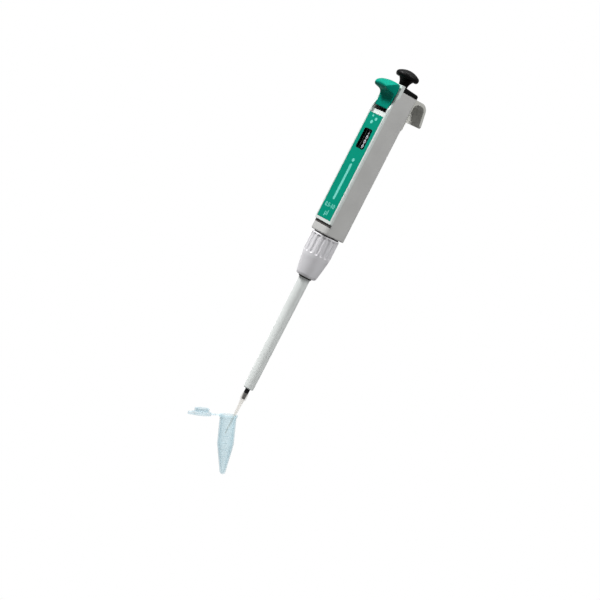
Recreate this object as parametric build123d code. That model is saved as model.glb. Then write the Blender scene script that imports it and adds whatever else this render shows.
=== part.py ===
from build123d import *
import math
import os

# Adjustable 10 microlitre micropipette with its tip in an open 1.5 ml flip-lid tube.
# Millimetres. +Z runs up the pipette to the push button, -Y is the label face,
# and the origin is the orifice of the disposable tip, on the pipette's axis.

# ---- housing (handle) ----
HOUSE_W = 17.2
HOUSE_FRONT = -9.1
HOUSE_BACK = 9.1
HOUSE_BOTTOM = 144.5
RING_TOP = 149.6
HOUSE_TOP = 247.5
WALL = 1.2
CORNER = 1.8
FOOT_CORNER = 3.4
COVER_CORNER = 0.6
FOOT_EDGE = 0.9
CAVITY_FLOOR = 147.0
SPLIT_Y = -7.2            # where the front cover meets the housing sides
HALF_W = HOUSE_W / 2
CAVITY_X = HALF_W - WALL
CAVITY_Y = HOUSE_BACK - WALL
EAR_Y = -5.0              # the cover wraps back this far at its top
EAR_Z = 243.0

# ---- front cover, label and window ----
COVER_BOTTOM = 151.6
COVER_TOP = 251.3
COVER_BACK = -6.4
LABEL_W = 14.2
LABEL_BOTTOM = 153.5
LABEL_TOP = 228.0
LABEL_T = 0.6
WINDOW_W = 6.8
WINDOW_BOTTOM = 204.0
WINDOW_TOP = 217.0
BEZEL_RIM = 0.5
BEZEL_CORNER = 1.2
BEZEL_PROUD = 0.1
CHANNEL_W = 14.0
CHANNEL_BOTTOM = 228.2
CHANNEL_FLOOR_Y = -7.4
KEY_SLOT_BOTTOM = 231.0
SCOOP_Y = -7.6
SCOOP_Z = 238.5          # the cover is scooped out above this, behind the key's head
SCOOP_START = 233.0

# ---- volume setting and counter ----
SCREW_R = 3.2
SCREW_BOTTOM = 174.5
SCREW_TOP = 245.3
WHEEL_R = 7.4
WHEEL_BAY_R = 7.6         # hollow that lets the wheels reach close to the window
WHEEL_H = 3.0
WHEEL_PITCH = 3.2
WHEEL_BOTTOM = 204.1
WHEEL_COUNT = 4
BEARING_TUBE_R = 4.3
PLATE_T = 2.4
LOWER_PLATE_Z = 200.0
UPPER_PLATE_Z = 218.6
BEARING_Z = 242.5
BEARING_TOP = 244.5
RUN_GAP = 0.05            # running clearance on a radius

# ---- plunger, stop and piston ----
ROD_R = 2.0
ROD_FLAT = 1.6            # the rod's drive flat, from its axis
ROD_BOTTOM = 152.05
CLIP_Z = 169.5
STROKE = 3.5              # rest to first stop at full volume
COLLAR_T = 1.5
NUT_BOTTOM = 158.8
NUT_TOP = 186.0
NUT_CHAMBER_BOTTOM = 160.8
NUT_CHAMBER_TOP = 175.5
NUT_CHAMBER_R = 4.6
PISTON_R = 0.95
PISTON_BOTTOM = 110.0
PISTON_HEAD_Z = 149.5
PISTON_HEAD_TOP = 152.0
PISTON_HEAD_R = 3.0

# ---- push button ----
BUTTON_R = 7.9
BUTTON_UNDER = 256.4
BUTTON_RIM_TOP = 259.9
BUTTON_TOP = 262.2
BUTTON_STEM_R = 3.1
BUTTON_NECK_R = 5.1
BUTTON_BOTTOM = 250.2
CAP_BORE_R = 5.3

# ---- ejector ----
YOKE_Z = 238.0
YOKE_TOP = 241.0
YOKE_NOTCH_X = 1.7        # notch that clears the ends of the hook screws
YOKE_NOTCH_Y = 6.5
EJECT_ROD_R = 0.8
EJECT_ROD_X = 5.9
EJECT_ROD_Y = 6.2
CROSSHEAD_Z = 154.0
CROSSHEAD_TOP = 156.5
PRONG_IN = 3.5
PRONG_OUT = 4.9
PRONG_Y = 1.2
SLEEVE_TOP = 124.5
SLEEVE_BOTTOM = 33.0
SLEEVE_R_TOP = 3.85
SLEEVE_R_BOTTOM = 3.45
SLEEVE_BORE_R = 2.95
KEY_HEAD_W = 16.4
KEY_HEAD_FRONT = -18.2
KEY_HEAD_BACK = -7.9
KEY_HEAD_UNDER = 243.8
KEY_STEM_W = 13.2
KEY_STEM_BOTTOM = 233.4

# ---- shaft, nozzle, coupling nut ----
SHAFT_R = 2.7
SHAFT_BOTTOM = 36.0
HUB_R = 3.3
HUB_BOTTOM = 126.0
FLANGE_R = 6.2
FLANGE_Z = 131.0
FLANGE_TOP = 134.0
GASKET_T = 0.8
SPIGOT_R = 6.25
SPIGOT_BORE_R = 5.2
WASHER_R = 8.5
SEAL_POCKET_R = 2.3
SEAL_POCKET_Z = 126.5
NOZZLE_R = 1.6
NOZZLE_TOP = 42.0
NUT_R_TOP = 9.45
NUT_R_BOTTOM = 7.2
COUPLING_TOP = 143.7
COUPLING_BOTTOM = 114.5
COUPLING_BORE_R = 6.3
FLUTES = 16
FLUTE_R = 1.5
FLUTE_DEPTH = 0.7

# ---- disposable tip ----
TIP_TOP = 29.5
TIP_COLLAR_R = 2.15
NOZZLE_TIP_Z = 25.4

# ---- micro tube ----
TUBE_TILT = 21.0          # between the tube's axis and the pipette's
SET_AZIMUTH = 48.0        # the vertical plane of the set, seen from above
TUBE_H = 39.0
TUBE_R = 5.4
TUBE_RIM_R = 6.0
TUBE_WALL = 0.8
TUBE_MOUTH_R = 5.0
TUBE_CONE_TOP = -19.0
MOUTH_OFFSET = 3.9        # the pipette's axis crosses the mouth this far off centre
MOUTH_Z = 13.3
LID_CENTRE = -17.4
LID_R = 6.3
LID_T = 2.0
PLUG_R = 4.85
PLUG_H = 2.5
TAB_REACH = 2.6
HINGE_X = -8.3
HINGE_Z = -0.8
HINGE_R = 0.4
STRAP_W = 4.8
STRAP_T = 0.4


def block(x0, x1, y0, y1, z0, z1):
    centre = Pos((x0 + x1) / 2, (y0 + y1) / 2, (z0 + z1) / 2)
    return centre * Box(x1 - x0, y1 - y0, z1 - z0)


def disc(radius, z0, z1, x=0.0, y=0.0):
    return Pos(x, y, (z0 + z1) / 2) * Cylinder(radius, z1 - z0)


def ring(outer, inner, z0, z1, x=0.0, y=0.0):
    return disc(outer, z0, z1, x, y) - disc(inner, z0 - 0.1, z1 + 0.1, x, y)


def turned(*points):
    """A solid of revolution about Z from its (radius, height) outline."""
    outline = Polyline(*[(r, 0, z) for r, z in points], close=True)
    return revolve(make_face(outline), Axis.Z)


def side_profile(points, width, x_mid=0.0):
    """A prism with a (y, z) outline, centred on x_mid."""
    outline = Polyline(*[(0, y, z) for y, z in points], close=True)
    prism = extrude(make_face(outline), amount=width / 2, both=True, dir=(1, 0, 0))
    return Pos(x_mid, 0, 0) * prism


def d_shaft(radius, flat, z0, z1):
    """A round shaft with one drive flat facing +Y."""
    cut = block(-radius - 1, radius + 1, flat, radius + 1, z0 - 0.1, z1 + 0.1)
    return disc(radius, z0, z1) - cut


def coil(mean_r, wire_r, z0, z1, turns, x=0.0, y=0.0):
    """A compression spring between two seats."""
    low = z0 + wire_r
    height = z1 - z0 - 2 * wire_r
    path = Pos(0, 0, low) * Helix(height / turns, height, mean_r)
    section = Plane(path @ 0, z_dir=path % 0) * Circle(wire_r)
    return Pos(x, y, 0) * sweep(section, path=path, is_frenet=True)


def vertical_edges(shape, y_side):
    edges = shape.edges().filter_by(Axis.Z)
    if y_side > 0:
        return edges.filter_by(lambda e: e.center().Y > HOUSE_BACK - 0.1)
    return edges.filter_by(lambda e: e.center().Y < HOUSE_FRONT + 0.1)


# ---------------------------------------------------------------- housing
def housing_body():
    shell = block(-HALF_W, HALF_W, SPLIT_Y, HOUSE_BACK, RING_TOP, HOUSE_TOP)
    foot = block(-HALF_W, HALF_W, HOUSE_FRONT, HOUSE_BACK, HOUSE_BOTTOM, RING_TOP)
    foot = fillet(vertical_edges(foot, -1), FOOT_CORNER)
    body = shell + foot
    body = fillet(vertical_edges(body, 1), CORNER)
    body = fillet(body.edges().group_by(Axis.Z)[0], FOOT_EDGE)
    cavity = block(-CAVITY_X, CAVITY_X, SPLIT_Y - 0.1, CAVITY_Y, CAVITY_FLOOR, HOUSE_TOP + 1)
    spigot = disc(SPIGOT_R, FLANGE_TOP + GASKET_T, HOUSE_BOTTOM)
    bore = disc(SPIGOT_BORE_R, FLANGE_TOP, CAVITY_FLOOR + 0.1)
    ear_room = side_profile(ear_outline(), HOUSE_W + 1)
    screws = disc(0.75, 0, 4)
    body = body - cavity - wheel_bay() + spigot - bore - ear_room
    for z in HOOK_SCREW_Z:
        body -= Pos(0, HOOK_SCREW_END, z) * Rot(-90, 0, 0) * screws
    return body


def wheel_bay():
    """Round hollow for the number wheels, shared by the housing and its cover."""
    top = WHEEL_BOTTOM + (WHEEL_COUNT - 1) * WHEEL_PITCH + WHEEL_H
    return disc(WHEEL_BAY_R, WHEEL_BOTTOM - 0.4, top + 0.4)


def ear_outline():
    """Side outline of the cover's top, where it wraps back onto the sides."""
    return [
        (SPLIT_Y, EAR_Z - 2.2),
        (EAR_Y, EAR_Z),
        (EAR_Y, COVER_TOP),
        (SPLIT_Y, COVER_TOP),
    ]


def front_cover():
    plate = block(-HALF_W, HALF_W, HOUSE_FRONT, SPLIT_Y, COVER_BOTTOM, COVER_TOP)
    plate = chamfer(vertical_edges(plate, -1), COVER_CORNER)
    plug = block(-CAVITY_X, CAVITY_X, SPLIT_Y, COVER_BACK, COVER_BOTTOM + 0.6, COVER_TOP)
    ears = side_profile(ear_outline(), HOUSE_W)
    ears -= block(-CAVITY_X, CAVITY_X, SPLIT_Y, 0, EAR_Z - 5, COVER_TOP + 1)
    cover = plate + plug + ears
    half_label = LABEL_W / 2
    label_y = HOUSE_FRONT + LABEL_T
    cover -= block(-half_label, half_label, HOUSE_FRONT - 1, label_y, LABEL_BOTTOM, LABEL_TOP)
    half_window = WINDOW_W / 2
    cover -= block(-half_window, half_window, -10, -5, WINDOW_BOTTOM, WINDOW_TOP)
    half_channel = CHANNEL_W / 2
    channel = block(
        -half_channel, half_channel, -10, CHANNEL_FLOOR_Y, CHANNEL_BOTTOM, COVER_TOP + 1
    )
    key_slot = block(-half_channel, half_channel, -10, -5, KEY_SLOT_BOTTOM, EAR_Z)
    scoop = side_profile(
        [
            (HOUSE_FRONT - 0.1, SCOOP_START),
            (SCOOP_Y, SCOOP_Z),
            (SCOOP_Y, COVER_TOP + 1),
            (HOUSE_FRONT - 0.1, COVER_TOP + 1),
        ],
        HOUSE_W + 1,
    )
    return cover - channel - key_slot - scoop - wheel_bay()


def cover_seal():
    """Dark strip that closes the gap under the front cover."""
    half = HALF_W - 1.0
    return block(-half, half, SPLIT_Y - 0.8, SPLIT_Y, RING_TOP, COVER_BOTTOM)


def label_plate():
    gap = 0.1
    half = LABEL_W / 2 - gap
    plate = block(
        -half, half, HOUSE_FRONT, HOUSE_FRONT + LABEL_T, LABEL_BOTTOM + gap, LABEL_TOP - gap
    )
    half_hole = WINDOW_W / 2 + BEZEL_RIM
    hole = block(
        -half_hole, half_hole, -10, -8, WINDOW_BOTTOM - BEZEL_RIM, WINDOW_TOP + BEZEL_RIM
    )
    return plate - fillet(hole.edges().filter_by(Axis.Y), BEZEL_CORNER)


def display_bezel():
    half = WINDOW_W / 2 + BEZEL_RIM
    front = HOUSE_FRONT - BEZEL_PROUD
    back = HOUSE_FRONT + LABEL_T
    frame = block(
        -half, half, front, back, WINDOW_BOTTOM - BEZEL_RIM, WINDOW_TOP + BEZEL_RIM
    )
    frame = fillet(frame.edges().filter_by(Axis.Y), BEZEL_CORNER)
    half_window = WINDOW_W / 2
    return frame - block(-half_window, half_window, -10, -8, WINDOW_BOTTOM, WINDOW_TOP)


def display_lens():
    half = WINDOW_W / 2
    return block(-half, half, HOUSE_FRONT, HOUSE_FRONT + 1.0, WINDOW_BOTTOM, WINDOW_TOP)


def top_cap():
    lid = side_profile(
        [(-4.9, HOUSE_TOP), (8.6, HOUSE_TOP), (8.6, 250.3), (-4.9, 251.1)],
        HOUSE_W - 0.4,
    )
    upper = lid.edges().filter_by(lambda e: e.center().Z > 250.0 and e.center().Y > -4.8)
    lid = fillet(upper, 1.3)
    tongue = block(-CAVITY_X, CAVITY_X, COVER_BACK, -4.9, HOUSE_TOP, 250.9)
    plug = block(-CAVITY_X, CAVITY_X, -4.9, CAVITY_Y, HOUSE_TOP - 1.0, HOUSE_TOP)
    return lid + tongue + plug - disc(CAP_BORE_R, HOUSE_TOP - 2, 252)


HOOK_SCREW_Z = (228.6, 236.4)
HOOK_SCREW_END = 7.0
HOOK_W = 15.2
HOOK_PLATE_BACK = 9.9
HOOK_TOP = 247.6
HOOK_CROWN = 245.4
HOOK_LIP = 232.4


def finger_hook():
    face = make_face(
        Polyline(
            (0, HOUSE_BACK, 225.2),
            (0, HOOK_PLATE_BACK, 226.6),
            (0, HOOK_PLATE_BACK, HOOK_CROWN),
            (0, 18.9, HOOK_CROWN),
            (0, 21.9, HOOK_LIP),
            (0, 23.8, HOOK_LIP),
            (0, 20.4, HOOK_TOP),
            (0, HOUSE_BACK, HOOK_TOP),
            close=True,
        )
    )
    crown = face.vertices().filter_by(lambda v: abs(v.Z - HOOK_CROWN) < 0.1)
    face = fillet(crown, 3.8)
    shoulder = face.vertices().filter_by(lambda v: v.Y > 19 and v.Z > HOOK_TOP - 0.1)
    face = fillet(shoulder, 6.2)
    hook = extrude(face, amount=HOOK_W / 2, both=True, dir=(1, 0, 0))
    lip = hook.edges().filter_by(Axis.Y).filter_by(lambda e: e.center().Y > 20)
    hook = fillet(lip, 1.8)
    for z in HOOK_SCREW_Z:
        hook -= Pos(0, HOOK_SCREW_END, z) * Rot(-90, 0, 0) * disc(0.75, 0, 5)
    return hook


def hook_screws():
    shank = HOOK_PLATE_BACK - HOOK_SCREW_END
    head_top = shank + 1.0
    parts = []
    for z in HOOK_SCREW_Z:
        screw = disc(0.75, 0, shank) + disc(1.5, shank, head_top)
        head_edge = screw.edges().filter_by(GeomType.CIRCLE).sort_by(Axis.Z)[-1]
        screw = fillet(head_edge, 0.4)
        screw -= block(-1.6, 1.6, -0.2, 0.2, head_top - 0.4, head_top + 1)
        parts.append(Pos(0, HOOK_SCREW_END, z) * Rot(-90, 0, 0) * screw)
    return Compound(children=parts)


# ---------------------------------------------------------------- volume setting
def volume_screw():
    body = disc(SCREW_R, SCREW_BOTTOM, SCREW_TOP)
    body += disc(SCREW_R + 1.0, BEARING_TOP + RUN_GAP, SCREW_TOP)
    bore = d_shaft(ROD_R + RUN_GAP, ROD_FLAT + RUN_GAP, SCREW_BOTTOM - 1, SCREW_TOP + 1)
    return body - bore


def screw_retaining_ring():
    return ring(SCREW_R + 1.0, SCREW_R, BEARING_Z - 1.1, BEARING_Z - RUN_GAP)


def upper_bearing():
    plate = block(-CAVITY_X, CAVITY_X, COVER_BACK + 0.1, CAVITY_Y, BEARING_Z, BEARING_TOP)
    bore = disc(SCREW_R + RUN_GAP, BEARING_Z - 1, BEARING_TOP + 1)
    mid = (BEARING_Z + BEARING_TOP) / 2
    return plate - bore - disc(SCREW_R + 0.8, mid - 0.4, mid + 0.4)


def dial_friction_ring():
    minor = 0.35
    mid = (BEARING_Z + BEARING_TOP) / 2
    return Pos(0, 0, mid) * Torus(SCREW_R + RUN_GAP + minor, minor)


def counter_plate(z0):
    plate = block(-CAVITY_X, CAVITY_X, -6.2, CAVITY_Y, z0, z0 + PLATE_T)
    plate -= disc(BEARING_TUBE_R, z0 - 1, z0 + PLATE_T + 1)
    for side in (-1, 1):
        plate -= disc(
            EJECT_ROD_R + 0.1, z0 - 1, z0 + PLATE_T + 1, side * EJECT_ROD_X, EJECT_ROD_Y
        )
    return plate


def wheel_bearing_tube():
    return ring(BEARING_TUBE_R, SCREW_R + 0.1, LOWER_PLATE_Z, UPPER_PLATE_Z + PLATE_T)


def number_wheel(index):
    """The tens wheel is index 0, on top, so that the digits read downwards."""
    z0 = WHEEL_BOTTOM + (WHEEL_COUNT - 1 - index) * WHEEL_PITCH
    wheel = ring(WHEEL_R, BEARING_TUBE_R + RUN_GAP, z0, z0 + WHEEL_H)
    pocket = ring(5.9, 5.1, z0 + WHEEL_H - 0.5, z0 + WHEEL_H + 1)
    return wheel - pocket


def stop_nut():
    nut = block(-CAVITY_X + 0.1, CAVITY_X - 0.1, -6.0, 5.2, NUT_BOTTOM, NUT_TOP)
    nut = fillet(nut.edges().filter_by(Axis.Z), 1.0)
    nut -= disc(SCREW_R + RUN_GAP, NUT_CHAMBER_TOP - 1, NUT_TOP + 1)
    nut -= disc(NUT_CHAMBER_R, NUT_CHAMBER_BOTTOM, NUT_CHAMBER_TOP)
    return nut - disc(ROD_R + 0.2, NUT_BOTTOM - 1, NUT_CHAMBER_BOTTOM + 1)


# ---------------------------------------------------------------- plunger
def dome_point(edge_r):
    """A point halfway along the button's dome, a circle centred on the axis."""
    rise = BUTTON_TOP - BUTTON_RIM_TOP
    dome_r = (edge_r**2 + rise**2) / (2 * rise)
    half = math.asin(edge_r / dome_r) / 2
    return (dome_r * math.sin(half), 0, BUTTON_TOP - dome_r * (1 - math.cos(half)))


def push_button():
    base = Polyline(
        (0, 0, BUTTON_BOTTOM),
        (BUTTON_STEM_R, 0, BUTTON_BOTTOM),
        (BUTTON_STEM_R, 0, 251.6),
    )
    neck = ThreePointArc(
        (BUTTON_STEM_R, 0, 251.6), (3.8, 0, 254.5), (BUTTON_NECK_R, 0, BUTTON_UNDER)
    )
    under = Line((BUTTON_NECK_R, 0, BUTTON_UNDER), (7.0, 0, BUTTON_UNDER))
    rim = ThreePointArc(
        (7.0, 0, BUTTON_UNDER), (BUTTON_R, 0, 257.9), (7.2, 0, BUTTON_RIM_TOP)
    )
    dome = ThreePointArc((7.2, 0, BUTTON_RIM_TOP), dome_point(7.2), (0, 0, BUTTON_TOP))
    axis = Line((0, 0, BUTTON_TOP), (0, 0, BUTTON_BOTTOM))
    button = revolve(make_face([base, neck, under, rim, dome, axis]), Axis.Z)
    return button - d_shaft(ROD_R, ROD_FLAT, BUTTON_BOTTOM - 1, 258.0)


def plunger_rod():
    return d_shaft(ROD_R, ROD_FLAT, ROD_BOTTOM, 258.0)


def plunger_clip():
    clip = disc(3.9, CLIP_Z, CLIP_Z + 1.0)
    return clip - d_shaft(ROD_R, ROD_FLAT, CLIP_Z - 1, CLIP_Z + 2)


def first_stop_collar():
    top = CLIP_Z - STROKE
    return ring(NUT_CHAMBER_R - 0.1, ROD_R + 0.1, top - COLLAR_T, top)


def blowout_spring():
    return coil(3.4, 0.3, NUT_CHAMBER_BOTTOM, CLIP_Z - STROKE - COLLAR_T, 2.5)


def piston_head():
    head = disc(PISTON_HEAD_R, PISTON_HEAD_Z, PISTON_HEAD_TOP)
    boss = disc(1.9, PISTON_HEAD_Z - 2.0, PISTON_HEAD_Z)
    return head + boss - disc(PISTON_R, PISTON_HEAD_Z - 3, PISTON_HEAD_TOP - 1)


def piston():
    return disc(PISTON_R, PISTON_BOTTOM, PISTON_HEAD_TOP - 1)


def primary_spring():
    return coil(2.6, 0.25, FLANGE_TOP + GASKET_T, PISTON_HEAD_Z, 7)


# ---------------------------------------------------------------- shaft and seals
def shaft():
    body = turned(
        (0, SHAFT_BOTTOM),
        (2.3, SHAFT_BOTTOM),
        (SHAFT_R, SHAFT_BOTTOM + 1.0),
        (SHAFT_R, HUB_BOTTOM),
        (HUB_R, HUB_BOTTOM + 0.5),
        (HUB_R, FLANGE_Z),
        (FLANGE_R, FLANGE_Z),
        (FLANGE_R, FLANGE_TOP),
        (0, FLANGE_TOP),
    )
    body -= disc(SEAL_POCKET_R, SEAL_POCKET_Z, FLANGE_TOP + 1)
    body -= disc(PISTON_R + 0.15, 104.0, SEAL_POCKET_Z + 1)
    body -= disc(0.5, SHAFT_BOTTOM, 105.0)
    body -= disc(NOZZLE_R, SHAFT_BOTTOM - 1, NOZZLE_TOP)
    for side in (-1, 1):
        near = min(side * (PRONG_IN - 0.15), side * (FLANGE_R + 1))
        far = max(side * (PRONG_IN - 0.15), side * (FLANGE_R + 1))
        slot = block(near, far, -PRONG_Y - 0.25, PRONG_Y + 0.25, FLANGE_Z - 1, FLANGE_TOP + 1)
        body -= slot & disc(PRONG_OUT + 0.35, FLANGE_Z - 1, FLANGE_TOP + 1)
    return body


def nozzle():
    body = turned(
        (0, NOZZLE_TIP_Z),
        (1.25, NOZZLE_TIP_Z),
        (1.475, TIP_TOP),
        (NOZZLE_R, TIP_TOP + 0.4),
        (NOZZLE_R, NOZZLE_TOP),
        (0, NOZZLE_TOP),
    )
    return body - disc(0.4, NOZZLE_TIP_Z - 1, NOZZLE_TOP + 1)


def shaft_gasket():
    return ring(FLANGE_R - 0.1, SPIGOT_BORE_R + 0.1, FLANGE_TOP, FLANGE_TOP + GASKET_T)


def piston_seal():
    return ring(SEAL_POCKET_R - 0.05, PISTON_R + RUN_GAP, SEAL_POCKET_Z, 128.9)


def seal_oring():
    return Pos(0, 0, 129.6) * Torus(1.62, 0.6)


def seal_retainer():
    sleeve = ring(SEAL_POCKET_R - 0.05, PISTON_R + 0.2, 130.3, FLANGE_TOP)
    return sleeve + ring(3.15, PISTON_R + 0.2, FLANGE_TOP, FLANGE_TOP + GASKET_T)


def coupling_washer():
    """Rubber washer that fills the gap between the housing and the coupling nut."""
    return ring(WASHER_R, SPIGOT_R, COUPLING_TOP + RUN_GAP, HOUSE_BOTTOM)


def sleeve_wiper():
    """Rubber wiper in the coupling's mouth, round the ejector sleeve."""
    return ring(4.5, SLEEVE_R_TOP + 0.2, COUPLING_BOTTOM - 0.9, COUPLING_BOTTOM + 1.5)


def coupling_nut():
    body = turned(
        (4.5, COUPLING_BOTTOM),
        (5.8, COUPLING_BOTTOM),
        (6.7, COUPLING_BOTTOM + 0.5),
        (NUT_R_BOTTOM, COUPLING_BOTTOM + 1.7),
        (8.25, 122.6),
        (9.1, 128.0),
        (NUT_R_TOP, 131.6),
        (NUT_R_TOP, COUPLING_TOP - 0.4),
        (NUT_R_TOP - 0.4, COUPLING_TOP),
        (COUPLING_BORE_R, COUPLING_TOP),
        (COUPLING_BORE_R, FLANGE_Z - RUN_GAP),
        (5.45, FLANGE_Z - RUN_GAP),
        (5.45, COUPLING_BOTTOM + 1.5),
        (4.5, COUPLING_BOTTOM + 1.5),
    )
    flute_z = 131.2
    flute = disc(FLUTE_R, flute_z, COUPLING_TOP - 1.0) + Pos(0, 0, flute_z) * Sphere(FLUTE_R)
    flute = Pos(NUT_R_TOP + FLUTE_R - FLUTE_DEPTH, 0, 0) * flute
    for index in range(FLUTES):
        body -= Rot(0, 0, 360 / FLUTES * index) * flute
    return body


# ---------------------------------------------------------------- ejector
def eject_key():
    crown = Spline(
        (0, KEY_HEAD_BACK, 251.6),
        (0, -13.2, 250.3),
        (0, KEY_HEAD_FRONT, 247.2),
        tangents=((0, -1, -0.05), (0, -1, -0.9)),
    )
    lower = Polyline(
        (0, KEY_HEAD_FRONT, 247.2),
        (0, KEY_HEAD_FRONT, 246.3),
        (0, -11.4, KEY_HEAD_UNDER),
        (0, KEY_HEAD_BACK, KEY_HEAD_UNDER),
        (0, KEY_HEAD_BACK, 251.6),
    )
    side = extrude(
        make_face([crown, lower]), amount=KEY_HEAD_W / 2, both=True, dir=(1, 0, 0)
    )
    plan = block(
        -KEY_HEAD_W / 2, KEY_HEAD_W / 2, KEY_HEAD_FRONT, KEY_HEAD_BACK, 240, 255
    )
    front = plan.edges().filter_by(Axis.Z).filter_by(lambda e: e.center().Y < -18)
    plan = fillet(front, 4.2)
    head = side & plan
    crest = head.edges().filter_by(lambda e: e.center().Z > 247.0 and e.center().Y < -8.5)
    head = fillet(crest, 0.6)
    half_stem = KEY_STEM_W / 2
    stem = block(-half_stem, half_stem, -8.7, -7.5, KEY_STEM_BOTTOM, KEY_HEAD_UNDER + 1)
    stem = fillet(stem.edges().filter_by(Axis.Y).group_by(Axis.Z)[0], 0.8)
    web_outline = Polyline(
        (-half_stem, 0, 239.0),
        (half_stem, 0, 239.0),
        (7.8, 0, KEY_HEAD_UNDER + 0.6),
        (-7.8, 0, KEY_HEAD_UNDER + 0.6),
        close=True,
    )
    web = extrude(make_face(web_outline), amount=0.7, dir=(0, -1, 0))
    web = Pos(0, -9.3, 0) * web
    bridge = block(-half_stem, half_stem, -9.4, -8.6, 239.0, KEY_HEAD_UNDER + 0.6)
    neck = block(-4.6, 4.6, -7.6, -5.9, YOKE_Z - 1.0, YOKE_TOP)
    return head + stem + web + bridge + neck


def ejector_yoke():
    yoke = block(-7.1, 7.1, -5.9, 7.6, YOKE_Z, YOKE_TOP)
    yoke = fillet(yoke.edges().filter_by(Axis.Z), 1.0)
    yoke -= disc(SCREW_R + 0.6, YOKE_Z - 1, YOKE_TOP + 1)
    yoke -= block(-YOKE_NOTCH_X, YOKE_NOTCH_X, YOKE_NOTCH_Y, 8, YOKE_Z - 1, YOKE_TOP + 1)
    for side in (-1, 1):
        yoke -= disc(EJECT_ROD_R, YOKE_Z - 1, YOKE_TOP - 1, side * EJECT_ROD_X, EJECT_ROD_Y)
    return yoke


def ejector_rods():
    bottom = CROSSHEAD_Z + 1
    rods = [
        disc(EJECT_ROD_R, bottom, YOKE_TOP - 1, side * EJECT_ROD_X, EJECT_ROD_Y)
        for side in (-1, 1)
    ]
    return Compound(children=rods)


def ejector_springs():
    seat = UPPER_PLATE_Z + PLATE_T
    springs = [
        coil(1.15, 0.16, seat, YOKE_Z, 8, side * EJECT_ROD_X, EJECT_ROD_Y) for side in (-1, 1)
    ]
    return Compound(children=springs)


def ejector_crosshead():
    head = block(-7.1, 7.1, -5.5, 7.6, CROSSHEAD_Z, CROSSHEAD_TOP)
    head = fillet(head.edges().filter_by(Axis.Z), 1.0)
    head -= disc(PISTON_HEAD_R + 0.4, CROSSHEAD_Z - 1, CROSSHEAD_TOP + 1)
    for side in (-1, 1):
        x = side * EJECT_ROD_X
        head -= disc(EJECT_ROD_R, CROSSHEAD_Z + 1, CROSSHEAD_TOP + 1, x, EJECT_ROD_Y)
    return head


def ejector_prongs():
    left = block(-PRONG_OUT, -PRONG_IN, -PRONG_Y, PRONG_Y, SLEEVE_TOP, CROSSHEAD_Z)
    right = block(PRONG_IN, PRONG_OUT, -PRONG_Y, PRONG_Y, SLEEVE_TOP, CROSSHEAD_Z)
    return Compound(children=[left, right])


def ejector_sleeve():
    return turned(
        (NOZZLE_R + 0.1, SLEEVE_BOTTOM),
        (3.0, SLEEVE_BOTTOM),
        (SLEEVE_R_BOTTOM, SLEEVE_BOTTOM + 0.6),
        (SLEEVE_R_TOP, COUPLING_BOTTOM - 1.5),
        (SLEEVE_R_TOP, SLEEVE_TOP - 2.0),
        (5.2, SLEEVE_TOP - 2.0),
        (5.2, SLEEVE_TOP),
        (SLEEVE_BORE_R, SLEEVE_TOP),
        (SLEEVE_BORE_R, SLEEVE_BOTTOM + 2.2),
        (NOZZLE_R + 0.1, SLEEVE_BOTTOM + 1.2),
    )


# ---------------------------------------------------------------- tip
def disposable_tip():
    return turned(
        (0.22, 0),
        (0.42, 0),
        (0.85, 12.0),
        (1.30, 23.2),
        (1.55, 24.3),
        (1.9, 25.0),
        (TIP_COLLAR_R - 0.1, 25.4),
        (TIP_COLLAR_R, TIP_TOP),
        (1.525, TIP_TOP),
        (1.30, NOZZLE_TIP_Z),
        (0.95, 24.2),
        (0.50, 12.0),
    )


# ---------------------------------------------------------------- micro tube
def tube_place():
    """The tube's frame: origin at its mouth, its own z out of the mouth, its x away from the hinge."""
    azimuth = math.radians(SET_AZIMUTH)
    tilt = math.radians(TUBE_TILT)
    side = Vector(math.cos(azimuth), math.sin(azimuth), 0)
    up = Vector(0, 0, 1)
    tube_up = up * math.cos(tilt) - side * math.sin(tilt)
    tube_x = side * math.cos(tilt) + up * math.sin(tilt)
    mouth = up * MOUTH_Z - tube_x * MOUTH_OFFSET
    return Plane(origin=mouth, x_dir=tube_x, z_dir=tube_up).location


def strap(x0, x1):
    """A stretch of the flat strap that holds the lid to the tube."""
    half_w, half_t = STRAP_W / 2, STRAP_T / 2
    return block(x0, x1, -half_w, half_w, HINGE_Z - half_t, HINGE_Z + half_t)


def microtube_body():
    end_r = 2.0
    end_z = -TUBE_H + end_r
    inner_r = TUBE_R - TUBE_WALL
    inner_end = end_r - TUBE_WALL
    outer = turned(
        (0, 0),
        (TUBE_RIM_R, 0),
        (TUBE_RIM_R, -1.5),
        (TUBE_R, -2.1),
        (TUBE_R, TUBE_CONE_TOP),
        (end_r, end_z),
        (0, end_z),
    )
    outer += Pos(0, 0, end_z) * Sphere(end_r)
    inner = turned(
        (0, 1),
        (TUBE_MOUTH_R, 1),
        (TUBE_MOUTH_R, -2.0),
        (inner_r, -5.0),
        (inner_r, TUBE_CONE_TOP - 0.2),
        (inner_end, end_z),
        (0, end_z),
    )
    inner += Pos(0, 0, end_z) * Sphere(inner_end)
    lug = strap(HINGE_X + HINGE_R + 0.2, 1.0 - TUBE_RIM_R)
    return tube_place() * (outer + lug - inner)


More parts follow.
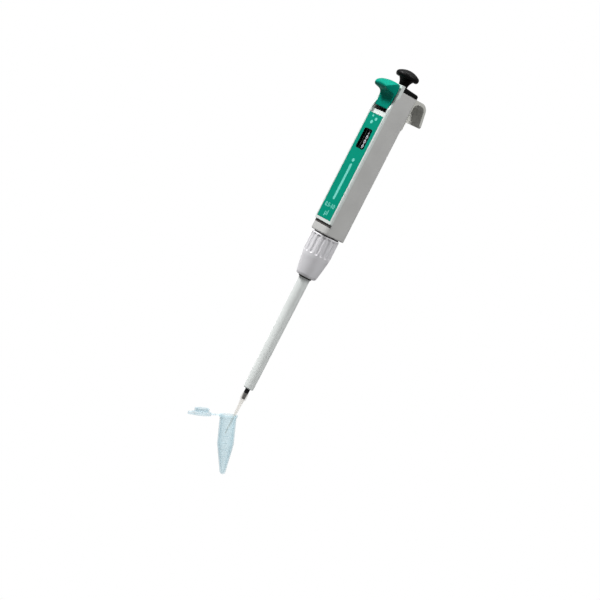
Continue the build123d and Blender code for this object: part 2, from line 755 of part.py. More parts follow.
def microtube_lid():
    radius = LID_R
    lid = Pos(LID_CENTRE, 0, 0) * disc(radius, -LID_T, 0)
    tab = block(LID_CENTRE - radius - TAB_REACH, LID_CENTRE - radius + 1.5, -3.2, 3.2, -LID_T, -0.6)
    tab = fillet(tab.edges().filter_by(Axis.Z).group_by(Axis.X)[0], 1.4)
    plug = Pos(LID_CENTRE, 0, 0) * ring(PLUG_R, PLUG_R - 1.0, 0, PLUG_H)
    plug_top = plug.edges().filter_by(GeomType.CIRCLE).group_by(Axis.Z)[-1]
    plug = fillet(plug_top, 0.35)
    knuckle = Pos(HINGE_X, 0, HINGE_Z) * Rot(90, 0, 0) * Cylinder(HINGE_R, STRAP_W)
    band = strap(LID_CENTRE + radius - 1.0, HINGE_X) + knuckle
    dish = Pos(LID_CENTRE, 0, 0) * disc(radius - 1.3, -LID_T - 1, -LID_T + 0.4)
    return tube_place() * (lid + tab + plug + band - dish)


PARTS = {
    "housing_body": housing_body,
    "front_cover": front_cover,
    "cover_seal": cover_seal,
    "label_plate": label_plate,
    "display_bezel": display_bezel,
    "display_lens": display_lens,
    "top_cap": top_cap,
    "finger_hook": finger_hook,
    "hook_screws": hook_screws,
    "volume_screw": volume_screw,
    "screw_retaining_ring": screw_retaining_ring,
    "upper_bearing": upper_bearing,
    "dial_friction_ring": dial_friction_ring,
    "counter_lower_plate": lambda: counter_plate(LOWER_PLATE_Z),
    "counter_upper_plate": lambda: counter_plate(UPPER_PLATE_Z),
    "wheel_bearing_tube": wheel_bearing_tube,
    "stop_nut": stop_nut,
    "push_button": push_button,
    "plunger_rod": plunger_rod,
    "plunger_clip": plunger_clip,
    "first_stop_collar": first_stop_collar,
    "blowout_spring": blowout_spring,
    "piston_head": piston_head,
    "piston": piston,
    "primary_spring": primary_spring,
    "shaft": shaft,
    "nozzle": nozzle,
    "shaft_gasket": shaft_gasket,
    "piston_seal": piston_seal,
    "seal_oring": seal_oring,
    "seal_retainer": seal_retainer,
    "coupling_washer": coupling_washer,
    "coupling_nut": coupling_nut,
    "sleeve_wiper": sleeve_wiper,
    "eject_key": eject_key,
    "ejector_yoke": ejector_yoke,
    "ejector_rods": ejector_rods,
    "ejector_springs": ejector_springs,
    "ejector_crosshead": ejector_crosshead,
    "ejector_prongs": ejector_prongs,
    "ejector_sleeve": ejector_sleeve,
    "disposable_tip": disposable_tip,
    "microtube_body": microtube_body,
    "microtube_lid": microtube_lid,
}

os.makedirs("parts", exist_ok=True)
for name, make in PARTS.items():
    export_step(make(), f"parts/{name}.step")
for index in range(WHEEL_COUNT):
    export_step(number_wheel(index), f"parts/number_wheel_{index + 1}.step")
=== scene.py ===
import math

import bmesh
import bpy
from mathutils import Matrix, Vector


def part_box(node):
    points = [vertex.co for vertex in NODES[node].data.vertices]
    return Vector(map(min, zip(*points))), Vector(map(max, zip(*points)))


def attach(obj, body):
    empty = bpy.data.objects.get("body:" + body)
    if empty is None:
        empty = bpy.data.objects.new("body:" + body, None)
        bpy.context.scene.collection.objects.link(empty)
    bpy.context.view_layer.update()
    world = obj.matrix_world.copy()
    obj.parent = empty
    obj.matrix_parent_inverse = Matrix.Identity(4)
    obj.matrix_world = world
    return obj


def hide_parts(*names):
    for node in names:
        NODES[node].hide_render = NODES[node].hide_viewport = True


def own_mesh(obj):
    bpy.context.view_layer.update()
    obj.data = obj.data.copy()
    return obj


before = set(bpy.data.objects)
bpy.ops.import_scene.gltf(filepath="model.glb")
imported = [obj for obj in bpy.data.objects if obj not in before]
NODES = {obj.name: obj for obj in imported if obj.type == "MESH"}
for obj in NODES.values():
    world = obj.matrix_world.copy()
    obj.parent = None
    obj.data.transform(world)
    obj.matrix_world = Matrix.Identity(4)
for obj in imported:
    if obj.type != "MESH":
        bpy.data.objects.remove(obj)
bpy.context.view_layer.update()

# Everything is in metres, in the frame's own axes: +Z runs up the pipette and -Y is the
# label face. Sizes that are easier to read in millimetres are multiplied by MM.
MM = 0.001

# ---- camera: it looks at the label face from one side, rolled so that the pipette leans ----
CAMERA_AZIMUTH = math.radians(48.0)
CAMERA_ELEVATION = math.radians(4.0)
CAMERA_ROLL = math.radians(27.1)
CAMERA_DISTANCE = 1.29
CAMERA_LENS = 120
CAMERA_SENSOR = 36
AIM_SIDEWAYS = 3.8 * MM
AIM_HEIGHT = 99.4 * MM

# ---- light: how far each lamp is toward the camera, to its right and to its top ----
# name: (toward, right, top, size of its disk, watts)
LIGHTS = {
    "key_light": (0.26, -0.38, 1.15, 0.26, 17.5),
    "side_light": (0.70, 0.95, 0.55, 0.7, 9.8),
    "back_light": (-1.1, -0.6, -0.1, 1.4, 4.0),
    "top_light": (0.05, 0.40, 1.1, 0.4, 6.0),
}
FILL_LOW = 0.06             # strength of the world's light from below
FILL_HIGH = 0.50            # and from above
FILL_RISE = (-0.6, 0.9)     # upward parts of a direction between which it grows
FLOOR_Z = -0.30
FLOOR_R = 40
FLOOR_SHADE = (0.22, 0.22, 0.22, 1)
WHITE = (1, 1, 1, 1)

# ---- edges ----
EDGE = 0.22 * MM            # radius that catches the light along moulded edges
CLEAR_EDGE = 0.12 * MM      # the same along clear plastic
METAL_EDGE = 0.08 * MM      # and along metal
SHARP_OVER = math.radians(32)

# ---- counter ----
WHEEL_BODIES = ("wheel_tens", "wheel_units", "wheel_tenths", "wheel_hundredths")
SHOWN = (1, 0, 0, 0)
DIGITS = 10
DIGIT_SIZE = 3.6 * MM
DIGIT_WEIGHT = 0.11 * MM
PROUD = 0.03 * MM           # how far print stands off the surface under it
LINER_INSET = 0.03 * MM
LINER_BEHIND = 0.9 * MM     # how far the window's walls reach behind the lens

# ---- label print, in mm, with z up from the label's lower edge ----
# each mark: (middle x, low z, high z, width)
STRIPE = (0.2, 13.5, 39.0, 2.0)
DOTS = (
    (0.2, 40.4, 42.8, 2.4),
    (2.0, 70.0, 72.3, 2.3),
    (-1.0, 67.4, 69.8, 2.4),
    (-2.2, 71.8, 73.4, 1.6),
)
END_STEPS = 10              # corners in each round end
# words: (size, middle z)
WORDS = {"0.5-10": (3.9, 9.0), "\u00b5l": (4.8, 3.9)}
PRINT_WEIGHT = 0.10 * MM

# ---- micro tube, in mm along its own axis, with z = 0 at its mouth ----
TUBE_AZIMUTH = math.radians(48.0)
TUBE_TILT = math.radians(21.0)
TUBE_R = 5.4
TUBE_END_R = 2.0
TUBE_CONE_TOP = -19.0
TUBE_END = -37.0
MOUTH_OFFSET = 3.9
MOUTH_Z = 13.3
LINE_HEIGHTS = (-9.0, -13.5, -18.0, -22.5, -27.0)
LINE_START = math.radians(-112)
LINE_SWEEP = math.radians(44)
LINE_HALF = 0.16            # half its thickness
LINE_TIP = 0.01             # half its thickness at its two ends
LINE_TAPER = 8              # each end tapers over one part in this many
LINE_STEPS = 16
LINE_RING = 8

# ---- ejector key, in mm ----
# each row of its cage: (y, z, half width, fall of its ends)
KEY_TOP = [
    (-7.9, 251.5, 7.6, 0.5),
    (-10.6, 251.4, 8.0, 0.8),
    (-13.6, 250.6, 8.2, 1.2),
    (-16.3, 249.1, 7.6, 1.3),
    (-18.0, 247.5, 5.9, 0.9),
]
KEY_UNDER = [
    (-7.9, 243.4, 7.5, 0.0),
    (-10.6, 243.4, 7.6, -0.3),
    (-13.2, 243.9, 7.9, -0.3),
    (-16.0, 244.7, 7.4, 0.2),
    (-17.9, 246.0, 5.8, 0.5),
]
STEM_FRONT = [
    (-9.6, 242.4, 6.9, -0.2),
    (-9.0, 240.8, 6.6, 0.0),
    (-8.75, 238.0, 6.55, 0.0),
    (-8.7, 234.2, 6.55, 0.0),
    (-8.6, 233.45, 6.45, 0.0),
]
STEM_BACK = [
    (-7.9, 242.4, 6.9, -0.2),
    (-7.75, 240.8, 6.6, 0.0),
    (-7.6, 238.0, 6.55, 0.0),
    (-7.6, 234.2, 6.55, 0.0),
    (-7.7, 233.45, 6.45, 0.0),
]
KEY_COLUMNS = (-1.0, -0.93, -0.72, -0.36, 0.0, 0.36, 0.72, 0.93, 1.0)
TONGUE_LOW = Vector((-4.6, -7.75, 237.0)) * MM
TONGUE_HIGH = Vector((4.6, -5.9, 241.0)) * MM
TONGUE_EDGE = 0.4 * MM

# ---- springs ----
WIRE_RING = 10              # sides of the wire
WIRE_STEPS = 24             # sections of the wire in one turn


# ---------------------------------------------------------------- camera and light
def camera_axes():
    """The camera's right and top, the way from the set toward it, and where it aims."""
    side = Vector((math.cos(CAMERA_AZIMUTH), math.sin(CAMERA_AZIMUTH), 0))
    out = Vector((math.sin(CAMERA_AZIMUTH), -math.cos(CAMERA_AZIMUTH), 0))
    rise = Vector((0, 0, math.sin(CAMERA_ELEVATION)))
    toward = out * math.cos(CAMERA_ELEVATION) + rise
    up = toward.cross(side)
    right = side * math.cos(CAMERA_ROLL) + up * math.sin(CAMERA_ROLL)
    top = up * math.cos(CAMERA_ROLL) - side * math.sin(CAMERA_ROLL)
    aim = side * AIM_SIDEWAYS + Vector((0, 0, AIM_HEIGHT))
    return right, top, toward, aim


def add_camera(right, top, toward, aim):
    data = bpy.data.cameras.new("studio_camera")
    data.lens = CAMERA_LENS
    data.sensor_width = CAMERA_SENSOR
    camera = bpy.data.objects.new("studio_camera", data)
    bpy.context.scene.collection.objects.link(camera)
    turn = Matrix((right, top, toward)).transposed()
    camera.matrix_world = Matrix.Translation(aim + toward * CAMERA_DISTANCE) @ turn.to_4x4()
    bpy.context.scene.camera = camera


def add_light(name, place, aim, size, watts):
    """A round area light that faces aim."""
    data = bpy.data.lights.new(name, "AREA")
    data.shape = "DISK"
    data.size = size
    data.energy = watts
    lamp = bpy.data.objects.new(name, data)
    bpy.context.scene.collection.objects.link(lamp)
    lamp.location = place
    lamp.rotation_euler = (place - aim).to_track_quat("Z", "Y").to_euler()


def show_white(tree, lit, seen_kind, output):
    """Lets the camera see plain white where everything else sees the lit shader."""
    seen = tree.nodes.new(seen_kind)
    seen.inputs["Color"].default_value = WHITE
    seen.inputs["Strength"].default_value = 1.0
    path = tree.nodes.new("ShaderNodeLightPath")
    mix = tree.nodes.new("ShaderNodeMixShader")
    tree.links.new(path.outputs["Is Camera Ray"], mix.inputs[0])
    tree.links.new(lit.outputs[0], mix.inputs[1])
    tree.links.new(seen.outputs[0], mix.inputs[2])
    tree.links.new(mix.outputs[0], output.inputs["Surface"])


def set_world():
    """A white studio: the camera sees plain white, and the set is lit mostly from above."""
    world = bpy.data.worlds.new("white_studio")
    bpy.context.scene.world = world
    world.use_nodes = True
    tree = world.node_tree
    tree.nodes.clear()
    place = tree.nodes.new("ShaderNodeTexCoord")
    split = tree.nodes.new("ShaderNodeSeparateXYZ")
    tree.links.new(place.outputs["Generated"], split.inputs[0])
    rise = tree.nodes.new("ShaderNodeMapRange")
    rise.inputs["From Min"].default_value = FILL_RISE[0]
    rise.inputs["From Max"].default_value = FILL_RISE[1]
    rise.inputs["To Min"].default_value = FILL_LOW
    rise.inputs["To Max"].default_value = FILL_HIGH
    tree.links.new(split.outputs["Z"], rise.inputs["Value"])
    fill = tree.nodes.new("ShaderNodeBackground")
    fill.inputs["Color"].default_value = WHITE
    tree.links.new(rise.outputs["Result"], fill.inputs["Strength"])
    show_white(tree, fill, "ShaderNodeBackground", tree.nodes.new("ShaderNodeOutputWorld"))


def add_floor():
    """A plain pale floor well below the set, wide enough to leave no horizon."""
    mesh = bpy.data.meshes.new("floor")
    made = bmesh.new()
    bmesh.ops.create_circle(made, cap_ends=True, radius=FLOOR_R, segments=96)
    made.to_mesh(mesh)
    made.free()
    floor = bpy.data.objects.new("floor", mesh)
    floor.location = (0, 0, FLOOR_Z)
    bpy.context.scene.collection.objects.link(floor)
    material = bpy.data.materials.new("floor_white")
    material.use_nodes = True
    tree = material.node_tree
    tree.nodes.clear()
    paper = tree.nodes.new("ShaderNodeBsdfDiffuse")
    paper.inputs["Color"].default_value = FLOOR_SHADE
    show_white(tree, paper, "ShaderNodeEmission", tree.nodes.new("ShaderNodeOutputMaterial"))
    mesh.materials.append(material)


def set_studio():
    bpy.context.scene.view_settings.view_transform = "Standard"
    right, top, toward, aim = camera_axes()
    add_camera(right, top, toward, aim)
    set_world()
    add_floor()
    for name, (nearer, across, above, size, watts) in LIGHTS.items():
        place = aim + toward * nearer + right * across + top * above
        add_light(name, place, aim, size, watts)


set_studio()


# ---------------------------------------------------------------- materials
def srgb(code):
    """A linear colour from a hex code."""
    channels = [int(code[i:i + 2], 16) / 255 for i in (0, 2, 4)]
    linear = [c / 12.92 if c <= 0.04045 else ((c + 0.055) / 1.055) ** 2.4 for c in channels]
    return (*linear, 1)


def scaled(colour, factor):
    """A colour made lighter or darker."""
    return (*[min(1, c * factor) for c in colour[:3]], 1)


class Maker:
    """Builds one node material round a Principled BSDF."""

    def __init__(self, name, edge):
        self.material = bpy.data.materials.new(name)
        self.material.use_nodes = True
        self.tree = self.material.node_tree
        self.shader = self.tree.nodes["Principled BSDF"]
        self.place = self.tree.nodes.new("ShaderNodeTexCoord").outputs["Object"]
        round_off = self.tree.nodes.new("ShaderNodeBevel")
        round_off.samples = 6
        round_off.inputs["Radius"].default_value = edge
        self.bump = round_off.outputs["Normal"]

    def link(self, source, target):
        """Joins an output to an input, given as a socket or by its name on the shader."""
        if isinstance(target, str):
            target = self.shader.inputs[target]
        self.tree.links.new(source, target)

    def stretch(self, scale):
        """Object coordinates, scaled on each axis."""
        mapping = self.tree.nodes.new("ShaderNodeMapping")
        mapping.inputs["Scale"].default_value = scale
        self.link(self.place, mapping.inputs["Vector"])
        return mapping.outputs["Vector"]

    def noise(self, scale, detail=3.0, rough=0.5, vector=None):
        """Noise with about that many features to a metre."""
        node = self.tree.nodes.new("ShaderNodeTexNoise")
        node.inputs["Scale"].default_value = scale
        node.inputs["Detail"].default_value = detail
        node.inputs["Roughness"].default_value = rough
        self.link(vector or self.place, node.inputs["Vector"])
        return node.outputs["Fac"]

    def spread(self, value, low, high, start=0.3, end=0.7):
        """A value that runs from low to high while the given one runs from start to end."""
        node = self.tree.nodes.new("ShaderNodeMapRange")
        node.inputs["From Min"].default_value = start
        node.inputs["From Max"].default_value = end
        node.inputs["To Min"].default_value = low
        node.inputs["To Max"].default_value = high
        self.link(value, node.inputs["Value"])
        return node.outputs["Result"]

    def mix(self, factor, first, second):
        """A colour between two, each of which is a constant or an output."""
        node = self.tree.nodes.new("ShaderNodeMix")
        node.data_type = "RGBA"
        self.link(factor, node.inputs["Factor"])
        for socket, value in ((node.inputs[6], first), (node.inputs[7], second)):
            if hasattr(value, "is_linked"):
                self.link(value, socket)
            else:
                socket.default_value = value
        return node.outputs[2]

    def relief(self, height, depth, strength):
        """Adds a bump on top of the relief that is there already."""
        node = self.tree.nodes.new("ShaderNodeBump")
        node.inputs["Strength"].default_value = strength
        node.inputs["Distance"].default_value = depth
        self.link(height, node.inputs["Height"])
        self.link(self.bump, node.inputs["Normal"])
        self.bump = node.outputs["Normal"]
        self.link(self.bump, "Normal")

    def set(self, **values):
        """Sets constants of the shader, with _ for each space in a socket's name."""
        for name, value in values.items():
            self.shader.inputs[name.replace("_", " ")].default_value = value


def moulded(name, code, rough, grain=0.01, grain_scale=2600, mottle=0.05, gloss_level=0.5):
    """Moulded plastic: slow shade drift, uneven gloss and a fine spark-eroded grain.

    grain is the depth of that grain in mm, and mottle how far the shade drifts."""
    make = Maker(name, EDGE)
    colour = srgb(code)
    drift = make.spread(make.noise(70, 4), 0, 1)
    tone = make.mix(drift, scaled(colour, 1 - mottle), scaled(colour, 1 + mottle))
    speck = make.spread(make.noise(5200, 1), 0, 1, 0.62, 0.74)
    tone = make.mix(speck, tone, scaled(colour, 1 - 2 * mottle))
    make.link(tone, "Base Color")
    make.link(make.spread(make.noise(420, 3), rough - 0.06, rough + 0.06), "Roughness")
    make.relief(make.noise(60, 2), 0.06 * MM, 0.5)
    make.relief(make.noise(grain_scale, 2, 0.6), grain * MM, 0.6)
    make.set(Specular_IOR_Level=gloss_level, IOR=1.5)
    return make.material


def metal(name, code, rough, lines=(300, 300, 9000)):
    """Turned or drawn metal with fine lines round its axis."""
    make = Maker(name, METAL_EDGE)
    colour = srgb(code)
    streak = make.noise(1.0, 2, 0.5, make.stretch(lines))
    tone = make.mix(make.spread(streak, 0, 1), scaled(colour, 0.86), scaled(colour, 1.08))
    make.link(tone, "Base Color")
    make.link(make.spread(make.noise(160, 3), rough - 0.07, rough + 0.09), "Roughness")
    make.relief(streak, 0.004 * MM, 0.5)
    make.set(Metallic=1.0)
    return make.material


def clear_plastic(name, code, rough, passes, solid, rim):
    """Translucent polypropylene: lets tinted light through, milkier at its edges.

    passes is the tint of the light let through one surface, solid the share that the
    surface itself shows face on, and rim that share at its edges."""
    make = Maker(name, CLEAR_EDGE)
    colour = srgb(code)
    flow = make.spread(make.noise(1.0, 3, 0.5, make.stretch((220, 220, 60))), 0, 1)
    make.link(make.mix(flow, scaled(colour, 0.92), scaled(colour, 1.06)), "Base Color")
    make.link(make.spread(make.noise(300, 3), rough - 0.05, rough + 0.08), "Roughness")
    make.relief(make.noise(160, 1), 0.01 * MM, 0.3)
    make.set(IOR=1.49)
    tree = make.tree
    clear = tree.nodes.new("ShaderNodeBsdfTransparent")
    clear.inputs["Color"].default_value = (*passes, 1)
    facing = tree.nodes.new("ShaderNodeLayerWeight")
    facing.inputs["Blend"].default_value = 0.35
    share = make.spread(facing.outputs["Facing"], solid, rim, 0.0, 1.0)
    blend = tree.nodes.new("ShaderNodeMixShader")
    make.link(share, blend.inputs[0])
    make.link(clear.outputs[0], blend.inputs[1])
    make.link(make.shader.outputs[0], blend.inputs[2])
    make.link(blend.outputs[0], tree.nodes["Material Output"].inputs["Surface"])
    return make.material


def paint(node, material):
    """Gives a CAD node its material, smooth but for its real edges."""
    mesh = NODES[node].data
    mesh.materials.clear()
    mesh.materials.append(material)
    mesh.shade_smooth()
    mesh.set_sharp_from_angle(angle=SHARP_OVER)
    for face in mesh.polygons:
        face.material_index = 0


GREY = moulded("housing_grey", "bcbcba", 0.50)
COVER = moulded("cover_grey", "cdd4d1", 0.36)
HOOK = moulded("hook_grey", "c4c4be", 0.45)
COUPLING = moulded("coupling_grey", "d8d7da", 0.45)
SLEEVE = moulded("sleeve_grey", "e2e6e4", 0.34)
SHAFT = moulded("shaft_grey", "b9b9b6", 0.40)
GREEN_LABEL = moulded("label_green", "008871", 0.40, 0.004, 1500, gloss_level=0.08)
GREEN_KEY = moulded("key_green", "007f6c", 0.46, 0.003, 1400, gloss_level=0.05)
LABEL_INK = moulded("label_ink", "6cc8ba", 0.40, 0.004, 1500)
BLACK = moulded("black_plastic", "050505", 0.46, 0.010, 2200, mottle=0.10, gloss_level=0.13)
WINDOW = moulded("window_black", "020406", 0.30, 0.003, 1500, mottle=0.10, gloss_level=0.2)
WHEEL = moulded("wheel_black", "040506", 0.55, gloss_level=0.15)
DIGIT_PAINT = moulded("digit_white", "c8cad2", 0.50)
NOZZLE = moulded("nozzle_black", "141414", 0.34)
ACETAL = moulded("acetal", "dcdad2", 0.42)
PTFE = moulded("ptfe", "e8e8e4", 0.50)
# Dark rubber for the seals. On the coupling washer and the sleeve wiper the same dark colour
# is painted shade for the gaps under the housing and under the coupling.
RUBBER_AND_GAP_SHADE = moulded("rubber", "2c2a2a", 0.72, 0.020, 1800, mottle=0.12)
SEAL = moulded("seal_grey", "4a4644", 0.60, 0.020, 1800, mottle=0.10)
STEEL = metal("steel", "b9bcc0", 0.28)
BRASS = metal("brass", "c8a35a", 0.30)
SPRING = metal("spring_steel", "a9adb3", 0.24, lines=(2600, 2600, 2600))
TIP = clear_plastic("tip_clear", "f2efea", 0.30, (0.975, 0.97, 0.96), 0.10, 0.36)
TUBE = clear_plastic("tube_blue", "c8e4ee", 0.30, (0.94, 0.978, 0.988), 0.10, 0.55)
LID = clear_plastic("lid_blue", "b8d2dc", 0.38, (0.955, 0.978, 0.984), 0.20, 0.50)
LENS = clear_plastic("lens_clear", "080a0c", 0.10, (0.98, 0.98, 0.98), 0.0, 0.04)

FINISH = {
    GREY: ["housing_body"],
    COVER: ["front_cover"],
    GREEN_LABEL: ["label_plate"],
    GREEN_KEY: ["eject_key"],
    BLACK: ["top_cap", "push_button", "volume_screw"],
    WINDOW: ["display_bezel"],
    HOOK: ["finger_hook"],
    COUPLING: ["coupling_nut"],
    SLEEVE: ["ejector_sleeve"],
    SHAFT: ["shaft"],
    NOZZLE: ["nozzle"],
    ACETAL: [
        "upper_bearing",
        "counter_lower_plate",
        "counter_upper_plate",
        "stop_nut",
        "piston_head",
        "ejector_yoke",
        "ejector_crosshead",
    ],
    # coupling_washer and sleeve_wiper are dark rings whose colour is painted shade in the
    # gaps under the housing and under the coupling.
    RUBBER_AND_GAP_SHADE: [
        "coupling_washer",
        "dial_friction_ring",
        "seal_oring",
        "shaft_gasket",
        "sleeve_wiper",
    ],
    SEAL: ["cover_seal"],
    PTFE: ["piston_seal"],
    WHEEL: [f"number_wheel_{i}" for i in (1, 2, 3, 4)],
    STEEL: [
        "hook_screws",
        "screw_retaining_ring",
        "wheel_bearing_tube",
        "plunger_rod",
        "plunger_clip",
        "piston",
        "ejector_rods",
        "ejector_prongs",
    ],
    SPRING: ["primary_spring", "blowout_spring", "ejector_springs"],
    BRASS: ["first_stop_collar", "seal_retainer"],
    TIP: ["disposable_tip"],
    TUBE: ["microtube_body"],
    LID: ["microtube_lid"],
    LENS: ["display_lens"],
}
for material, nodes in FINISH.items():
    for node in nodes:
        paint(node, material)


# ---------------------------------------------------------------- helpers for new pieces
def piece(name, mesh, body, material):
    """An object of its own that rides on a body, with the given material."""
    made = bpy.data.objects.new(name, mesh)
    bpy.context.scene.collection.objects.link(made)
    mesh.materials.clear()
    mesh.materials.append(material)
    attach(made, body)
    return made


def mesh_from(name, points, faces, smooth=True):
    """A mesh whose faces all look outward."""
    mesh = bpy.data.meshes.new(name)
    mesh.from_pydata([tuple(p) for p in points], [], faces)
    mesh.validate()
    made = bmesh.new()
    made.from_mesh(mesh)
    bmesh.ops.recalc_face_normals(made, faces=made.faces)
    made.to_mesh(mesh)
    made.free()
    if smooth:
        mesh.shade_smooth()
    return mesh


def join_meshes(name, meshes):
    """One mesh out of several, which are used up."""
    joined = bmesh.new()
    for mesh in meshes:
        joined.from_mesh(mesh)
        bpy.data.meshes.remove(mesh)
    mesh = bpy.data.meshes.new(name)
    joined.to_mesh(mesh)
    joined.free()
    return mesh


def subdivide(made, levels=3):
    """Applies a subdivision surface, so that the mesh itself is smooth."""
    modifier = made.modifiers.new("smooth_form", "SUBSURF")
    modifier.levels = levels
    modifier.render_levels = levels
    bpy.context.view_layer.update()
    held = made.evaluated_get(bpy.context.evaluated_depsgraph_get())
    mesh = bpy.data.meshes.new_from_object(held)
    made.modifiers.clear()
    made.data = mesh
    mesh.shade_smooth()


def text_mesh(name, words, size, weight):
    """A flat mesh of generic characters, centred on the origin."""
    curve = bpy.data.curves.new(name, "FONT")
    curve.body = words
    curve.size = size
    curve.align_x = "CENTER"
    curve.align_y = "CENTER"
    curve.offset = weight
    curve.resolution_u = 6
    holder = bpy.data.objects.new(name, curve)
    bpy.context.scene.collection.objects.link(holder)
    bpy.context.view_layer.update()
    mesh = bpy.data.meshes.new_from_object(holder)
    bpy.data.objects.remove(holder)
    mesh.name = name
    return mesh


def tube_faces(first, sections, ring):
    """The faces of a capped run of rings of points, which starts at the point first."""
    faces = []
    for section in range(sections - 1):
        low = first + section * ring
        high = low + ring
        for side in range(ring):
            after = (side + 1) % ring
            faces.append((low + side, low + after, high + after, high + side))
    last = first + (sections - 1) * ring
    faces.append(tuple(first + side for side in range(ring)))
    faces.append(tuple(last + side for side in reversed(range(ring))))
    return faces


# ---------------------------------------------------------------- number wheels
def wheel_digit(digit, turn, radius, middle):
    """One digit wrapped round a wheel, with its middle at the angle turn."""
    flat = text_mesh("digit", str(digit), DIGIT_SIZE, DIGIT_WEIGHT)
    cut = bmesh.new()
    cut.from_mesh(flat)
    bmesh.ops.subdivide_edges(cut, edges=cut.edges, cuts=1)
    for vertex in cut.verts:
        angle = turn + vertex.co.x / radius
        height = middle + vertex.co.y
        vertex.co = Vector((radius * math.cos(angle), radius * math.sin(angle), height))
    cut.to_mesh(flat)
    cut.free()
    return flat


def wheel_digits(index):
    """Ten printed digits round a number wheel, the shown one facing the window."""
    low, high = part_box(f"number_wheel_{index + 1}")
    meshes = []
    for digit in range(DIGITS):
        turn = -math.pi / 2 - 2 * math.pi / DIGITS * (digit - SHOWN[index])
        meshes.append(wheel_digit(digit, turn, high.x + PROUD, (low.z + high.z) / 2))
    mesh = join_meshes(f"digits_{index + 1}", meshes)
    piece(f"digits_{index + 1}", mesh, WHEEL_BODIES[index], DIGIT_PAINT)


for index in range(len(WHEEL_BODIES)):
    wheel_digits(index)


# ---------------------------------------------------------------- counter window
def window_liner():
    """The window's dark walls, seen through the lens."""
    low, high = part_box("display_lens")
    left, right = low.x + LINER_INSET, high.x - LINER_INSET
    floor_z, roof_z = low.z + LINER_INSET, high.z - LINER_INSET
    corners = [(left, floor_z), (right, floor_z), (right, roof_z), (left, roof_z)]
    depths = (low.y + LINER_INSET, high.y + LINER_BEHIND)
    points = [(x, y, z) for y in depths for x, z in corners]
    faces = [(i, (i + 1) % 4, (i + 1) % 4 + 4, i + 4) for i in range(4)]
    mesh = mesh_from("window_liner", points, faces, smooth=False)
    piece("window_liner", mesh, "handle", WINDOW)


window_liner()


# ---------------------------------------------------------------- label print
def bar(name, mark, base, depth):
    """A printed mark with round ends, as an outline filled by one fan of faces."""
    x_mid, z_low, z_high, width = [size * MM for size in mark]
    half = width / 2
    points = []
    for centre, start in ((z_high - half, 0.0), (z_low + half, math.pi)):
        for step in range(END_STEPS + 1):
            angle = start + math.pi * step / END_STEPS
            x = x_mid + half * math.cos(angle)
            points.append((x, depth, base + centre + half * math.sin(angle)))
    hub = len(points)
    points.append((x_mid, depth, base + (z_low + z_high) / 2))
    faces = [(i, (i + 1) % hub, hub) for i in range(hub)]
    return mesh_from(name, points, faces, smooth=False)


def across_text(words, size, height, depth):
    """Print that reads across the label."""
    mesh = text_mesh("print", words, size, PRINT_WEIGHT)
    for vertex in mesh.vertices:
        vertex.co = Vector((vertex.co.x, depth, height + vertex.co.y))
    return mesh


def label_print():
    """A plain stripe and dots, the range of the pipette and its unit."""
    low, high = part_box("label_plate")
    base, depth = low.z, low.y - PROUD
    marks = [bar("stripe", STRIPE, base, depth)]
    marks += [bar("dot", dot, base, depth) for dot in DOTS]
    for words, (size, height) in WORDS.items():
        marks.append(across_text(words, size * MM, base + height * MM, depth))
    mesh = join_meshes("label_print", marks)
    piece("label_print", mesh, "handle", LABEL_INK)


label_print()


# ---------------------------------------------------------------- micro tube
def tube_place():
    """The tube's own axes: z out of its mouth, x away from the hinge of its lid."""
    side = Vector((math.cos(TUBE_AZIMUTH), math.sin(TUBE_AZIMUTH), 0))
    up = Vector((0, 0, 1))
    tube_up = up * math.cos(TUBE_TILT) - side * math.sin(TUBE_TILT)
    tube_x = side * math.cos(TUBE_TILT) + up * math.sin(TUBE_TILT)
    mouth = (up * MOUTH_Z - tube_x * MOUTH_OFFSET) * MM
    turn = Matrix((tube_x, tube_up.cross(tube_x), tube_up)).transposed()
    return Matrix.Translation(mouth) @ turn.to_4x4()


def graduation(height, place):
    """One short raised line that follows the tube's wall and tapers to its ends."""
    fall = max(0.0, (TUBE_CONE_TOP - height) / (TUBE_CONE_TOP - TUBE_END))
    radius = TUBE_R - fall * (TUBE_R - TUBE_END_R)
    points = []
    for step in range(LINE_STEPS + 1):
        share = step / LINE_STEPS
        angle = LINE_START + LINE_SWEEP * share
        thick = LINE_HALF * min(1.0, LINE_TAPER * share, LINE_TAPER * (1 - share)) + LINE_TIP
        for side in range(LINE_RING):
            lean = 2 * math.pi * side / LINE_RING
            reach = radius + thick * math.cos(lean)
            z = height + thick * math.sin(lean)
            local = Vector((reach * math.cos(angle), reach * math.sin(angle), z)) * MM
            points.append(place @ local)
    return mesh_from("graduation", points, tube_faces(0, LINE_STEPS + 1, LINE_RING))


def tube_graduations():
    """Raised graduation lines on the side of the tube."""
    place = tube_place()
    mesh = join_meshes("tube_graduations", [graduation(z, place) for z in LINE_HEIGHTS])
    mesh.shade_smooth()
    piece("tube_graduations", mesh, "tube", LID)


tube_graduations()


# ---------------------------------------------------------------- ejector key
def strip(first, second):
    """The faces between two rows of points."""
    steps = range(len(first) - 1)
    return [(first[i], first[i + 1], second[i + 1], second[i]) for i in steps]


def key_form():
    """The flared thumb key: a crowned paddle over a flat stem, as one closed cage."""
    points = []
    chains = []
    for chain in (KEY_TOP, KEY_UNDER, STEM_FRONT, STEM_BACK):
        rows = []
        for y, z, half, fall in chain:
            rows.append(range(len(points), len(points) + len(KEY_COLUMNS)))
            for share in KEY_COLUMNS:
                points.append(Vector((share * half, y, z - fall * share**2)) * MM)
        chains.append(rows)
    top, under, front, back = chains
    # The stem joins the paddle between the first two rows of its underside.
    joined = [pair for rows in (top, under[1:], front, back) for pair in zip(rows, rows[1:])]
    joined += [(top[0], under[0]), (top[-1], under[-1])]
    joined += [(under[1], front[0]), (under[0], back[0]), (front[-1], back[-1])]
    faces = [face for first, second in joined for face in strip(first, second)]
    for end in (0, -1):
        for near, far in ((top, under), (front, back)):
            faces += strip([row[end] for row in near], [row[end] for row in far])
        faces.append((under[0][end], under[1][end], front[0][end], back[0][end]))
    return mesh_from("eject_key_form", points, faces)


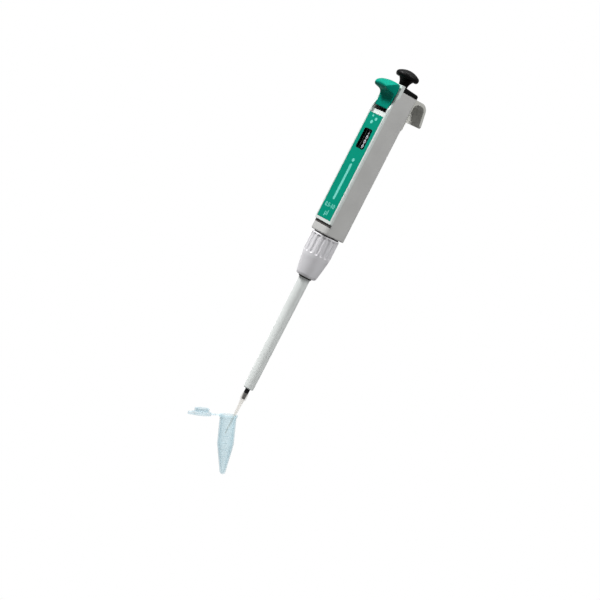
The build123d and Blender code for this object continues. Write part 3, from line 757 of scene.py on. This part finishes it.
def key_tongue():
    """The tongue behind the stem, which reaches the yoke through the slot."""
    made = bmesh.new()
    bmesh.ops.create_cube(made, size=1.0)
    middle = (TONGUE_LOW + TONGUE_HIGH) / 2
    span = TONGUE_HIGH - TONGUE_LOW
    for vertex in made.verts:
        vertex.co = middle + span * vertex.co
    bmesh.ops.bevel(
        made, geom=made.edges[:], offset=TONGUE_EDGE, segments=3, profile=0.5, affect="EDGES"
    )
    mesh = bpy.data.meshes.new("key_tongue")
    made.to_mesh(mesh)
    made.free()
    mesh.shade_smooth()
    return mesh


key = piece("eject_key_form", key_form(), "ejector", GREEN_KEY)
subdivide(key)
piece("eject_key_tongue", key_tongue(), "ejector", GREEN_KEY)
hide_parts("eject_key")


# ---------------------------------------------------------------- springs
def coil(name, z_low, z_high, mean_r, wire_r, turns, places):
    """One helix of round wire at each of the places, all sizes in mm."""
    sections = int(turns * WIRE_STEPS) + 1
    points = []
    faces = []
    for x_mid, y_mid in places:
        faces += tube_faces(len(points), sections, WIRE_RING)
        for section in range(sections):
            share = section / (sections - 1)
            angle = 2 * math.pi * turns * share
            height = z_low + wire_r + (z_high - z_low - 2 * wire_r) * share
            for side in range(WIRE_RING):
                lean = 2 * math.pi * side / WIRE_RING
                reach = mean_r + wire_r * math.cos(lean)
                x = x_mid + reach * math.cos(angle)
                y = y_mid + reach * math.sin(angle)
                points.append(Vector((x, y, height + wire_r * math.sin(lean))) * MM)
    return mesh_from(name, points, faces)


def add_spring(name, node, body, mean_r, wire_r, turns, places=((0, 0),)):
    """A coil in place of a CAD spring, riding on the given body."""
    low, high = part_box(node)
    mesh = coil(name, low.z / MM, high.z / MM, mean_r, wire_r, turns, places)
    wire = piece(name, mesh, body, SPRING)
    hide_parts(node)
    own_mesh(wire)


add_spring(
    "primary_spring_wire", "primary_spring", "handle",
    mean_r=2.6, wire_r=0.25, turns=7,
)
add_spring(
    "blowout_spring_wire", "blowout_spring", "stroke_stop",
    mean_r=3.4, wire_r=0.3, turns=2.5,
)
add_spring(
    "ejector_spring_wires", "ejector_springs", "handle",
    mean_r=1.15, wire_r=0.16, turns=8,
    places=((-5.9, 6.2), (5.9, 6.2)),
)
